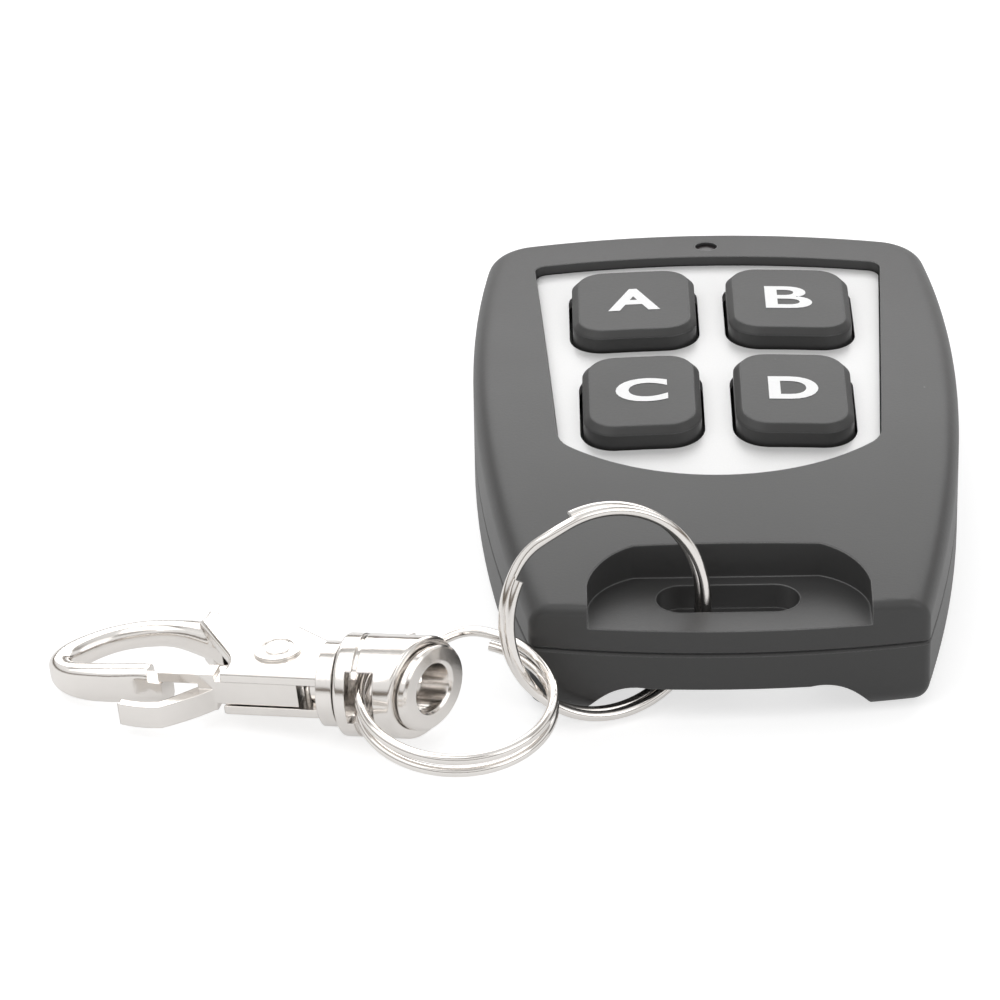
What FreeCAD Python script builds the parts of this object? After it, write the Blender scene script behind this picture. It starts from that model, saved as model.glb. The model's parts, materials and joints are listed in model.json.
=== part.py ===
import FreeCAD, Part
import math
import os
import re
import Sketcher
from FreeCAD import Placement, Rotation, Vector

# Key-fob remote control with its split rings and swivel clasp, in millimetres.
# X runs across the fob, Y from the keyring end to the lamp end, Z up from the resting face.

SIZES = {
    # case, seen from above
    "case_length": 62.0,
    "case_near_half": 15.8,
    "case_far_half": 18.5,
    "case_side_bow": 2.9,
    "case_near_bow": 1.5,
    "case_far_bow": 0.9,
    "case_far_corner": 4.2,
    "case_near_corner": 0.8,
    # case, seen from the side
    "seam_height": 6.0,
    "crown_near": 10.1,
    "crown_far": 11.6,
    "crown_bow": 2.1,
    "crown_radius": 190.0,
    "rim_round": 2.0,
    "base_round": 2.2,
    "seam_bevel": 0.22,
    "wall": 1.5,
    "base_floor": 1.3,
    "roof_height": 9.6,
    "cavity_start": 10.6,
    # blocks that the crown trims, how far cuts start outside, and how far joined pieces reach into each other
    "block_height": 16.0,
    "cut_margin": 2.0,
    "join_lap": 0.1,
    # keyring well, slot and arch
    "well_floor": 8.15,
    "well_front_half": 11.2,
    "well_back_half": 7.4,
    "well_reach": 8.4,
    "well_shoulder": 3.8,
    "well_shoulder_bow": 0.8,
    "slot_length": 11.4,
    "slot_width": 4.2,
    "slot_setback": 3.0,
    "arch_height": 2.8,
    "arch_half": 11.4,
    "arch_round": 5.0,
    "arch_bow": 1.1,
    "arch_reach": 9.0,
    "flare_height": 5.2,
    "flare_half": 7.8,
    "flare_lip": 1.5,
    "flare_corner": 1.2,
    # silver face plate
    "panel_near": 17.7,
    "panel_shoulder": 23.7,
    "panel_far": 55.8,
    "panel_near_half": 13.2,
    "panel_far_half": 14.9,
    "panel_far_bow": 0.5,
    "panel_depth": 0.85,
    "panel_corner": 1.0,
    "panel_near_corner": 3.2,
    "plate_thick": 0.8,
    "plate_clear": 0.12,
    "plate_rest": 0.02,
    # keys
    "key_far_width": 10.4,
    "key_near_width": 9.7,
    "key_depth": 12.2,
    "key_corner": 2.7,
    "key_near_row": 29.4,
    "key_far_row": 45.4,
    "key_near_pitch": 12.5,
    "key_far_pitch": 13.1,
    "key_proud": 1.75,
    "key_bevel": 0.55,
    "key_travel": 0.45,
    "key_gap": 0.28,
    "key_flange": 0.7,
    "key_flange_thick": 0.8,
    "key_flange_clear": 0.1,
    # circuit board and what is on it
    "board_height": 3.9,
    "board_thick": 1.0,
    "board_near": 20.6,
    "board_neck": 50.4,
    "board_far": 59.4,
    "board_half": 14.6,
    "board_neck_half": 10.8,
    "shelf_inset": 2.0,
    "shelf_radius": 1.3,
    "neck_slant": 1.5,
    "switch_side": 6.0,
    "switch_corner": 0.5,
    "switch_plunger_radius": 1.75,
    "plunger_clear": 0.06,
    "plunger_sunk": 0.9,
    "plunger_foot_gap": 0.15,
    "switch_below_key": 0.7,
    "lamp_along": 58.1,
    "lamp_hole_radius": 0.95,
    "lamp_clear": 0.06,
    "lamp_collar_radius": 1.5,
    "lamp_collar_thick": 0.7,
    "lamp_collar_gap": 0.02,
    "lamp_stem_gap": 0.2,
    "lamp_sunk": 0.35,
    "lamp_chip_length": 3.2,
    "lamp_chip_width": 1.6,
    "lamp_chip_height": 1.1,
    "encoder_length": 8.6,
    "encoder_width": 3.9,
    "encoder_height": 1.5,
    "resonator_radius": 2.4,
    "resonator_height": 2.2,
    "resonator_across": 6.6,
    "resonator_along": 54.8,
    "loop_across": 6.6,
    "loop_along": 55.0,
    "loop_side": 6.4,
    "loop_width": 0.9,
    "loop_thick": 0.35,
    # battery and its contacts
    "battery_radius": 4.0,
    "battery_length": 28.0,
    "battery_along": 15.3,
    "battery_clear": 0.1,
    "battery_nub_radius": 1.5,
    "battery_nub_height": 0.6,
    "contact_thick": 0.3,
    "contact_width": 5.0,
    "contact_foot": 3.0,
    "contact_foot_width": 2.0,
    "contact_arm_height": 1.6,
    # screws
    "screw_radius": 1.0,
    "screw_head_radius": 1.8,
    "screw_head_thick": 1.1,
    "screw_sunk": 0.3,
    "screw_clear": 0.08,
    "screw_length": 7.4,
    "screw_end_gap": 0.4,
    "cross_width": 0.4,
    "cross_length": 2.0,
    "cross_depth": 0.6,
    "screw_near_across": 13.5,
    "screw_near_along": 5.6,
    "screw_far_across": 14.0,
    "screw_far_along": 54.6,
    "post_radius": 2.6,
    # split rings
    "ring_radius": 8.4,
    "small_ring_radius": 7.6,
    "ring_wire": 0.85,
    "ring_gap": 0.42,
    "ring_jog": 36.0,
    "ring_end_gap": 5.0,
    # clasp, counted from its swivel end along its own axis
    "clasp_thick": 4.0,
    "clasp_near_side": 2.4,
    "clasp_shoulder": 5.3,
    "clasp_wing": 5.6,
    "clasp_length": 24.9,
    "clasp_loop_far": 6.6,
    "clasp_edge": 0.4,
    "clasp_nose_cut": 0.3,
    "hook_step": 3.2,
    "clasp_collar_radius": 3.4,
    "clasp_collar_length": 1.3,
    "wedge_reach": 13.4,
    "wedge_width": 1.15,
    "flange_reach": 9.4,
    "hook_root_radius": 0.95,
    "hook_end_height": 1.6,
    "hook_end_half": 0.9,
    "hook_end_reach": 14.3,
    "channel_end": 1.5,
    "channel_height": 2.2,
    "channel_across": 3.7,
    "rivet_reach": 5.7,
    "rivet_across": 1.5,
    "rivet_radius": 1.0,
    "rivet_head_radius": 2.0,
    "rivet_head_thick": 0.24,
    "rivet_mark_radius": 1.3,
    "rivet_mark_width": 0.25,
    "rivet_clear": 0.03,
    "trigger_height": 2.0,
    "trigger_clear": 0.06,
    "trigger_eye": 2.1,
    "trigger_tail": 3.2,
    "trigger_inset": 0.2,
    "gate_half": 0.8,
    "gate_reach": 11.4,
    "gate_gap": 0.6,
    "gate_lip_reach": 14.7,
    "gate_swing_room": 0.95,
    "lip_step_across": 0.6,
    "gate_lip_thick": 0.85,
    "gate_lip_clear": 0.12,
    "tab_reach": 17.3,
    "tab_out": 3.1,
    "tab_thick": 0.9,
    "tab_height": 1.9,
    "spring_radius": 1.33,
    "spring_wire": 0.28,
    "spring_gap": 0.42,
    "spring_turns": 1.5,
    "spring_clear": 0.12,
    # swivel barrel
    "barrel_start": 0.3,
    "barrel_length": 8.0,
    "barrel_radius": 4.1,
    "barrel_bore": 3.0,
    "barrel_end_wall": 0.9,
    "barrel_mouth": 4.9,
    "barrel_band": 1.5,
    "barrel_band_width": 0.4,
    "barrel_band_depth": 0.25,
    "barrel_edge": 0.3,
    "window_drop": 1.25,
    "window_rise": 2.85,
    "window_start": 1.3,
    "near_window_end": 3.6,
    "far_window_start": 2.0,
    "far_window_end": 5.5,
    "pin_radius": 0.9,
    "pin_clear": 0.06,
    "pin_head_radius": 1.6,
    "pin_head_thick": 0.8,
    # where the keychain lies, counted left of the middle line and along from the keyring end, and its turns
    "fob_ring_left": 9.763,
    "fob_ring_setback": 2.234,
    "fob_ring_height": 8.832,
    "fob_ring_yaw": 22.35,
    "fob_ring_lean": 12.93,
    "fob_ring_turn": 108.0,
    "small_ring_left": 21.535,
    "small_ring_out": 4.287,
    "small_ring_height": 4.893,
    "small_ring_yaw": 4.8440,
    "small_ring_lean": 79.9274,
    "small_ring_turn": 70.0,
    "clasp_left": 30.435,
    "clasp_out": 0.525,
    "clasp_axis_height": 4.2,
    "clasp_yaw": 15.5,
    "clasp_pitch": 5.6,
}

NAMES = re.compile(r"[a-z]+(?:_[a-z]+)+|wall")

doc = FreeCAD.newDocument("remote_control")
sheet = doc.addObject("Spreadsheet::Sheet", "Sizes")
for row, (alias, amount) in enumerate(SIZES.items(), start=1):
    sheet.set(f"A{row}", alias)
    sheet.set(f"B{row}", str(amount))
    sheet.setAlias(f"B{row}", alias)
doc.recompute()


def full(text):
    """An expression of plain size names, written for the sheet."""
    return NAMES.sub(lambda found: "Sizes." + found.group(), text)


def value(text):
    """What such an expression comes to now."""
    return float(sheet.evalExpression(full(text)))


def bind(item, **properties):
    """Ties properties of an object to expressions of the sheet's sizes."""
    for name, text in properties.items():
        item.setExpression(name.replace("__", "."), full(text))


def along(name):
    """Y of a length that is counted from the keyring end of the case."""
    return f"({name} - case_length / 2)"


def new_body(label):
    body = doc.addObject("PartDesign::Body", "Body_" + label)
    body.Label = label
    return body


def new_sketch(body, name, plane, lift="0"):
    """A sketch on one of the body's own origin planes, lifted along that plane's normal."""
    sketch = body.newObject("Sketcher::SketchObject", body.Label + "_" + name)
    origin_plane = next(item for item in body.Origin.OriginFeatures if item.Role == plane)
    sketch.AttachmentSupport = [(origin_plane, "")]
    sketch.MapMode = "FlatFace"
    if lift != "0":
        bind(sketch, AttachmentOffset__Base__z=lift)
    return sketch


def pin_point(sketch, edge, end, x, y):
    """Holds one end of an edge at expressions of the sheet's sizes."""
    for kind, text, axis in (("DistanceX", x, -2), ("DistanceY", y, -1)):
        if text == "0":
            sketch.addConstraint(Sketcher.Constraint("PointOnObject", edge, end, axis))
        else:
            number = sketch.addConstraint(Sketcher.Constraint(kind, -1, 1, edge, end, value(text)))
            sketch.setExpression(f"Constraints[{number}]", full(text))


def draw_outline(sketch, corners):
    """A closed outline, counterclockwise. A corner's third entry bows the edge that leaves it."""
    points = [Vector(value(corner[0]), value(corner[1]), 0) for corner in corners]
    count = len(corners)
    first = sketch.GeometryCount
    ends = []
    for index, corner in enumerate(corners):
        start = points[index]
        end = points[(index + 1) % count]
        if len(corner) < 3:
            sketch.addGeometry(Part.LineSegment(start, end), False)
            ends.append((1, 2))
            continue
        bow = value(corner[2])
        chord = end - start
        outward = Vector(chord.y, -chord.x, 0).normalize()
        sketch.addGeometry(Part.Arc(start, (start + end) / 2 + outward * bow, end), False)
        ends.append((1, 2) if bow > 0 else (2, 1))
    for index, corner in enumerate(corners):
        edge = first + index
        after = first + (index + 1) % count
        sketch.addConstraint(
            Sketcher.Constraint("Coincident", edge, ends[index][1], after, ends[(index + 1) % count][0])
        )
        pin_point(sketch, edge, ends[index][0], corner[0], corner[1])
        if len(corner) == 3:
            x0, y0, bow = corner
            x1, y1 = corners[(index + 1) % count][:2]
            chord_squared = f"((({x1}) - ({x0}))^2 + (({y1}) - ({y0}))^2)"
            radius = f"({chord_squared} / 4 + ({bow})^2) / (2 * abs({bow}))"
            number = sketch.addConstraint(Sketcher.Constraint("Radius", edge, value(radius)))
            sketch.setExpression(f"Constraints[{number}]", full(radius))


def draw_circle(sketch, x, y, radius):
    circle = Part.Circle(Vector(value(x), value(y), 0), Vector(0, 0, 1), value(radius))
    edge = sketch.addGeometry(circle, False)
    pin_point(sketch, edge, 3, x, y)
    number = sketch.addConstraint(Sketcher.Constraint("Radius", edge, value(radius)))
    sketch.setExpression(f"Constraints[{number}]", full(radius))


def rounded_box(x, y, width, depth, corner):
    """Corners of a rectangle about a centre, with rounded corners, for draw_outline."""
    bow = f"({corner}) * {1 - math.sqrt(0.5):.5f}"
    right = f"({x}) + ({width}) / 2"
    left = f"({x}) - ({width}) / 2"
    top = f"({y}) + ({depth}) / 2"
    bottom = f"({y}) - ({depth}) / 2"
    inward = f"({corner})"
    return [
        (f"{left} + {inward}", bottom),
        (f"{right} - {inward}", bottom, bow),
        (right, f"{bottom} + {inward}"),
        (right, f"{top} - {inward}", bow),
        (f"{right} - {inward}", top),
        (f"{left} + {inward}", top, bow),
        (left, f"{top} - {inward}"),
        (left, f"{bottom} + {inward}", bow),
    ]


def pad(body, name, sketch, length):
    feature = body.newObject("PartDesign::Pad", body.Label + "_" + name)
    feature.Profile = sketch
    bind(feature, Length=length)
    sketch.Visibility = False
    doc.recompute()
    return feature


def pocket(body, name, sketch, length, forward=False):
    """Cuts against the sketch's normal, or along it, and makes sure that something was cut."""
    before = body.Shape.Volume
    feature = body.newObject("PartDesign::Pocket", body.Label + "_" + name)
    feature.Profile = sketch
    feature.Reversed = forward
    bind(feature, Length=length)
    doc.recompute()
    if not body.Shape.Volume < before:
        raise RuntimeError(f"{feature.Name} cut nothing")
    return feature


def dress(body, kind, name, amount, picked):
    """A fillet or chamfer on the edges of the body's last feature that a test picks."""
    base = body.Tip
    edges = [f"Edge{index}" for index, edge in enumerate(base.Shape.Edges, start=1) if picked(edge)]
    feature = body.newObject("PartDesign::" + kind, body.Label + "_" + name)
    feature.Base = (base, edges)
    bind(feature, **{"Radius" if kind == "Fillet" else "Size": amount})
    doc.recompute()
    return feature


def groove_to_crown(body, name, lower, keep_below=True):
    """Trims a body to the crowned roof surface, lowered by an expression."""
    sketch = new_sketch(body, name + "_profile", "YZ_Plane")
    beyond = "(2 * cut_margin)"
    near = f"(0 - case_length / 2 - {beyond})"
    far = f"(case_length / 2 + {beyond})"
    slope = f"((crown_far - crown_near) / case_length * {beyond})"
    near_height = f"(crown_near - {slope} - ({lower}))"
    far_height = f"(crown_far + {slope} - ({lower}))"
    bow = f"crown_bow * ((case_length + 2 * {beyond}) / case_length)^2"
    dip = f"crown_bow * (((case_length + 2 * {beyond}) / case_length)^2 - 1)"
    near_height = f"({near_height} - {dip})"
    far_height = f"({far_height} - {dip})"
    if keep_below:
        above = "2 * block_height"
        corners = [(near, near_height, f"0 - ({bow})"), (far, far_height), (far, above), (near, above)]
    else:
        below = "0 - block_height"
        corners = [(near, below), (far, below), (far, far_height, bow), (near, near_height)]
    draw_outline(sketch, corners)
    reach = value("block_height")
    axis = sketch.addGeometry(Part.LineSegment(Vector(-reach, 0, 0), Vector(reach, 0, 0)), True)
    depth = "crown_radius - crown_near"
    pin_point(sketch, axis, 1, "0 - block_height", f"0 - ({depth})")
    pin_point(sketch, axis, 2, "block_height", f"0 - ({depth})")
    before = body.Shape.Volume
    feature = body.newObject("PartDesign::Groove", body.Label + "_" + name)
    feature.Profile = sketch
    feature.ReferenceAxis = (sketch, ["Axis0"])
    feature.Midplane = True
    feature.Angle = 20
    doc.recompute()
    if not body.Shape.Volume < before:
        raise RuntimeError(f"{feature.Name} cut nothing")
    return feature


def case_outline(inset="0", start=None):
    """Plan of the case, or of the space inside it where it starts behind the keyring end."""
    far_y = f"(case_length / 2 - case_far_bow - ({inset}))"
    far_x = f"(case_far_half - ({inset}))"
    if start is None:
        near_y = "(case_near_bow - case_length / 2)"
        near_x = "case_near_half"
        return [
            (f"0 - {near_x}", near_y, "case_near_bow"),
            (near_x, near_y, "case_side_bow"),
            (far_x, far_y, "case_far_bow"),
            (f"0 - {far_x}", far_y, "case_side_bow"),
        ]
    # the side bow over a shorter chord, and the half width where that chord starts
    share = f"(({far_y} - {start}) / (case_length - case_near_bow - case_far_bow))"
    bow = f"(case_side_bow * {share}^2)"
    slope = "(case_far_half - case_near_half)"
    near_x = f"(case_far_half - {slope} * {share} + 4 * case_side_bow * {share} * (1 - {share}) - ({inset}))"
    return [
        (f"0 - {near_x}", start),
        (near_x, start, bow),
        (far_x, far_y, "case_far_bow"),
        (f"0 - {far_x}", far_y, bow),
    ]


def is_upright(edge):
    box = edge.BoundBox
    return box.XLength < 0.001 and box.YLength < 0.001 and box.ZLength > 0.1


def case_blank(label, base, height):
    """The case's outline as a block, with its corners rounded."""
    body = new_body(label)
    sketch = new_sketch(body, "plan", "XY_Plane", base)
    draw_outline(sketch, case_outline())
    pad(body, "block", sketch, height)
    dress(body, "Fillet", "far_corners", "case_far_corner", lambda e: is_upright(e) and e.CenterOfMass.y > 0)
    return body


def cut_cavity(body, base, height, forward=True):
    """The space behind the keyring end that holds the battery and the board."""
    sketch = new_sketch(body, "cavity_plan", "XY_Plane", base)
    draw_outline(sketch, case_outline("wall", along("cavity_start")))
    pocket(body, "cavity", sketch, height, forward)
    inner = value("case_length / 2 - case_far_bow - wall") + 0.01
    dress(
        body, "Fillet", "cavity_corners", "case_far_corner - wall",
        lambda e: is_upright(e) and abs(e.CenterOfMass.y - inner) < 0.1,
    )


def screw_places():
    pairs = ("screw_near_across", "screw_near_along"), ("screw_far_across", "screw_far_along")
    return [(side + across, along(distance)) for across, distance in pairs for side in ("", "0 - ")]


def key_places():
    """Each key's name and the expressions of its centre."""
    far, near = along("key_far_row"), along("key_near_row")
    return [
        ("a", "0 - key_far_pitch / 2", far),
        ("b", "key_far_pitch / 2", far),
        ("c", "0 - key_near_pitch / 2", near),
        ("d", "key_near_pitch / 2", near),
    ]


def key_outline(x, y, grow="0"):
    row_width = "key_near_width" if y == along("key_near_row") else "key_far_width"
    width = f"({row_width} + 2 * ({grow}))"
    depth = f"(key_depth + 2 * ({grow}))"
    return rounded_box(x, y, width, depth, f"(key_corner + ({grow}))")


def panel_outline(inset="0"):
    near_y, low_y, far_y = along("panel_shoulder"), along("panel_near"), along("panel_far")
    near_x = f"(panel_near_half - ({inset}))"
    far_x = f"(panel_far_half - ({inset}))"
    return [
        (f"0 - {near_x}", f"({near_y})", f"({near_y} - {low_y}) - ({inset})"),
        (near_x, f"({near_y})"),
        (far_x, f"({far_y} - panel_far_bow - ({inset}))", "panel_far_bow"),
        (f"0 - {far_x}", f"({far_y} - panel_far_bow - ({inset}))"),
    ]


def slot_outline(grow="0"):
    middle = along("slot_setback + slot_width / 2")
    width = f"(slot_length + 2 * ({grow}))"
    depth = f"(slot_width + 2 * ({grow}))"
    return rounded_box("0", middle, width, depth, f"({depth} * 0.49)")


def cut_holes(body, name, lift, length, outlines, forward=True):
    """One pocket for each outline of a list."""
    for index, outline in enumerate(outlines, start=1):
        sketch = new_sketch(body, f"{name}_plan{index}", "XY_Plane", lift)
        draw_outline(sketch, outline)
        pocket(body, f"{name}{index}", sketch, length, forward)


UNDER_ROOF = "(roof_height - cut_margin)"


def make_base():
    body = case_blank("bottom_shell", "0", "seam_height")
    dress(body, "Fillet", "foot_edges", "base_round", lambda e: e.BoundBox.ZMax < 0.001)
    dress(body, "Fillet", "near_corners", "case_near_corner", is_near_corner)
    cut_cavity(body, "base_floor", "seam_height")
    # arch between the feet, open to the front
    arch = new_sketch(body, "arch_profile", "XZ_Plane", "case_length / 2 + cut_margin")
    draw_outline(arch, [
        ("0 - arch_half", "0 - cut_margin"),
        ("arch_half", "0 - cut_margin"),
        ("arch_half", "0", "arch_bow"),
        ("arch_half - arch_round", "arch_height"),
        ("arch_round - arch_half", "arch_height", "arch_bow"),
        ("0 - arch_half", "0"),
    ])
    pocket(body, "arch", arch, "arch_reach + cut_margin")
    cut_holes(body, "slot", "0", "seam_height + cut_margin", [slot_outline()])
    # room under the slot for the ring to turn
    flare = new_sketch(body, "flare_plan", "XY_Plane", "0")
    flare_middle = along("(flare_lip + arch_reach) / 2")
    draw_outline(flare, rounded_box(
        "0", flare_middle, "2 * flare_half", "(arch_reach - flare_lip)", "flare_corner"
    ))
    pocket(body, "flare", flare, "flare_height", True)
    # posts for the far screws, then the screw holes from below
    posts = new_sketch(body, "posts_plan", "XY_Plane", "base_floor / 2")
    for x, y in screw_places()[2:]:
        draw_circle(posts, x, y, "post_radius")
    pad(body, "posts", posts, "seam_height - base_floor / 2")
    shanks = new_sketch(body, "shanks_plan", "XY_Plane", "0")
    heads = new_sketch(body, "heads_plan", "XY_Plane", "0")
    for x, y in screw_places():
        draw_circle(shanks, x, y, "screw_radius + screw_clear")
        draw_circle(heads, x, y, "screw_head_radius + screw_clear")
    pocket(body, "shanks", shanks, "seam_height + cut_margin", True)
    pocket(body, "heads", heads, "screw_sunk + screw_head_thick", True)
    # shelves that carry the board
    shelves = new_sketch(body, "shelves_plan", "XY_Plane", "base_floor / 2")
    for side in ("", "0 - "):
        for distance in ("board_near + shelf_inset", "board_neck - shelf_inset"):
            draw_circle(shelves, f"{side}(board_half - shelf_inset)", along(f"({distance})"), "shelf_radius")
    pad(body, "shelves", shelves, "board_height - base_floor / 2")
    dress(body, "Chamfer", "seam_bevel_edges", "seam_bevel", is_case_rim)
    return body


def is_case_rim(edge):
    """The outer edges of either shell at the seam."""
    box = edge.BoundBox
    if abs(box.ZMin - value("seam_height")) > 0.001 or abs(box.ZMax - value("seam_height")) > 0.001:
        return False
    middle = edge.valueAt((edge.FirstParameter + edge.LastParameter) / 2)
    chord = value("case_near_half") - 0.5
    near = middle.y < value("case_near_bow - case_length / 2") + 0.6 and abs(middle.x) < chord + 1
    far = middle.y > value("case_length / 2 - case_far_corner")
    at_far_wall = far and middle.y > value("case_length / 2 - wall") - 0.1
    return near or at_far_wall or abs(middle.x) > side_at(middle.y) - 0.4


def side_at(y):
    """Half width of the case at a place along it."""
    span = value("case_length - case_near_bow - case_far_bow")
    share = (y - value("case_near_bow - case_length / 2")) / span
    half = value("case_near_half") + share * value("case_far_half - case_near_half")
    return half + 4 * value("case_side_bow") * share * (1 - share)


def make_top():
    body = case_blank("top_shell", "seam_height", "block_height - seam_height")
    groove_to_crown(body, "crown", "0")
    front = value("case_near_bow - case_length / 2") + 1
    above_seam = value("seam_height") + 1
    dress(
        body, "Fillet", "rim", "rim_round",
        lambda e: e.BoundBox.ZMin > above_seam and not is_upright(e) and e.CenterOfMass.y > front,
    )
    dress(body, "Fillet", "near_corners", "case_near_corner", is_near_corner)
    # well around the slot, open to the front
    well = new_sketch(body, "well_plan", "XY_Plane", "well_floor")
    front_y = "0 - case_length / 2 - cut_margin"
    shoulder_y, back_y = along("well_shoulder"), along("well_reach")
    draw_outline(well, [
        ("0 - well_front_half", front_y),
        ("well_front_half", front_y),
        ("well_front_half", shoulder_y, "well_shoulder_bow"),
        ("well_back_half", back_y),
        ("0 - well_back_half", back_y, "well_shoulder_bow"),
        ("0 - well_front_half", shoulder_y),
    ])
    pocket(body, "well", well, "block_height", True)
    # space for the battery, the board and the keys' flanges
    cut_cavity(body, "seam_height", "roof_height - seam_height")
    cut_holes(body, "slot", "0", "block_height", [slot_outline()])
    posts = new_sketch(body, "posts_plan", "XY_Plane", "seam_height")
    for x, y in screw_places()[2:]:
        draw_circle(posts, x, y, "post_radius")
    pad(body, "posts", posts, "roof_height - seam_height + join_lap")
    shanks = new_sketch(body, "shanks_plan", "XY_Plane", "seam_height")
    for x, y in screw_places():
        draw_circle(shanks, x, y, "screw_radius + screw_clear")
    pocket(body, "shanks", shanks, "screw_length + screw_sunk - seam_height + screw_end_gap", True)
    cut_holes(
        body, "key_hole", UNDER_ROOF, "block_height",
        [key_outline(x, y, "key_gap") for name, x, y in key_places()],
    )
    lamp = new_sketch(body, "lamp_plan", "XY_Plane", UNDER_ROOF)
    draw_circle(lamp, "0", along("lamp_along"), "lamp_hole_radius")
    pocket(body, "lamp_hole", lamp, "block_height", True)
    # seat of the face plate, following the crown
    seat = new_body("plate_seat")
    sketch = new_sketch(seat, "plan", "XY_Plane", UNDER_ROOF)
    draw_outline(sketch, panel_outline())
    pad(seat, "block", sketch, f"block_height - {UNDER_ROOF}")
    round_panel_corners(seat, "panel_corner")
    groove_to_crown(seat, "seat", "panel_depth + plate_thick + plate_rest", keep_below=False)
    cut = body.newObject("PartDesign::Boolean", "top_shell_panel")
    cut.Type = "Cut"
    cut.setObjects([seat])
    doc.recompute()
    dress(body, "Chamfer", "seam_bevel_edges", "seam_bevel", is_case_rim)
    return body


def round_panel_corners(body, corner):
    """Rounds the plate's corners, the near ones more."""
    far_y = value(along("panel_far") + " - 2 * panel_far_bow")
    dress(body, "Fillet", "corners", corner, lambda e: is_upright(e) and e.CenterOfMass.y > far_y - 1)
    dress(
        body, "Fillet", "near_corners", "panel_near_corner",
        lambda e: is_upright(e) and abs(abs(e.CenterOfMass.x) - value("panel_near_half")) < 0.5,
    )


def make_plate():
    body = new_body("face_plate")
    sketch = new_sketch(body, "plan", "XY_Plane", UNDER_ROOF)
    draw_outline(sketch, panel_outline("plate_clear"))
    pad(body, "block", sketch, f"block_height - {UNDER_ROOF}")
    round_panel_corners(body, "panel_corner")
    groove_to_crown(body, "face", "panel_depth")
    groove_to_crown(body, "back", "panel_depth + plate_thick", keep_below=False)
    outlines = [key_outline(x, y, "key_gap") for name, x, y in key_places()]
    cut_holes(body, "key_hole", UNDER_ROOF, "block_height", outlines)
    return body


KEY_FOOT = "(roof_height - key_flange_clear - key_flange_thick)"
SWITCH_TOP = f"({KEY_FOOT} - switch_below_key)"
BOARD_TOP = "(board_height + board_thick)"


def make_button(name, x, y):
    body = new_body("button_" + name)
    flange = new_sketch(body, "flange_plan", "XY_Plane", KEY_FOOT)
    draw_outline(flange, key_outline(x, y, "key_flange"))
    pad(body, "flange", flange, "key_flange_thick")
    cap = new_sketch(body, "cap_plan", "XY_Plane", KEY_FOOT)
    draw_outline(cap, key_outline(x, y))
    pad(body, "cap", cap, f"block_height - {KEY_FOOT}")
    groove_to_crown(body, "crown", "panel_depth - key_proud")
    top = value("roof_height") + 1
    dress(body, "Chamfer", "bevel", "key_bevel", lambda e: e.BoundBox.ZMin > top and not is_upright(e))
    return body


def make_switch(name, x, y):
    """A square push switch under a key: its body, and the plunger that the key presses."""
    body = new_body("switch_" + name)
    plan = new_sketch(body, "plan", "XY_Plane", BOARD_TOP)
    draw_outline(plan, rounded_box(x, y, "switch_side", "switch_side", "switch_corner"))
    pad(body, "block", plan, f"{SWITCH_TOP} - {BOARD_TOP}")
    bore_floor = f"{SWITCH_TOP} - plunger_sunk - key_travel - plunger_foot_gap"
    bore = new_sketch(body, "bore_plan", "XY_Plane", bore_floor)
    draw_circle(bore, x, y, "switch_plunger_radius + plunger_clear")
    pocket(body, "bore", bore, "block_height", True)
    plunger = doc.addObject("Part::Cylinder", "Plunger_" + name)
    plunger.Label = "plunger_" + name
    bind(
        plunger, Radius="switch_plunger_radius", Height="plunger_sunk + switch_below_key",
        Placement__Base__x=x, Placement__Base__y=y, Placement__Base__z=f"{SWITCH_TOP} - plunger_sunk",
    )
    return [body, plunger]


def make_board():
    body = new_body("circuit_board")
    plan = new_sketch(body, "plan", "XY_Plane", "board_height")
    near_y, neck_y, far_y = along("board_near"), along("board_neck"), along("board_far")
    draw_outline(plan, [
        ("0 - board_half", near_y),
        ("board_half", near_y),
        ("board_half", neck_y),
        ("board_neck_half", f"{neck_y} + neck_slant"),
        ("board_neck_half", far_y),
        ("0 - board_neck_half", far_y),
        ("0 - board_neck_half", f"{neck_y} + neck_slant"),
        ("0 - board_half", neck_y),
    ])
    pad(body, "panel", plan, "board_thick")
    return body


def make_box(label, x, y, z, width, depth, height):
    """A plain block centred in X and Y on a place, standing on a height."""
    box = doc.addObject("Part::Box", "Block_" + label)
    box.Label = label
    bind(
        box, Length=width, Width=depth, Height=height,
        Placement__Base__x=f"({x}) - ({width}) / 2", Placement__Base__y=f"({y}) - ({depth}) / 2",
        Placement__Base__z=z,
    )
    return box


def make_cylinder(label, x, y, z, radius, height):
    cylinder = doc.addObject("Part::Cylinder", "Round_" + label)
    cylinder.Label = label
    bind(
        cylinder, Radius=radius, Height=height,
        Placement__Base__x=x, Placement__Base__y=y, Placement__Base__z=z,
    )
    return cylinder


def join(label, kind, items):
    result = doc.addObject("Part::" + kind, "Joined_" + label)
    result.Label = label
    if kind == "Cut":
        result.Base, result.Tool = items
    elif kind == "Compound":
        result.Links = items
    else:
        result.Shapes = items
    return result


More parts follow.
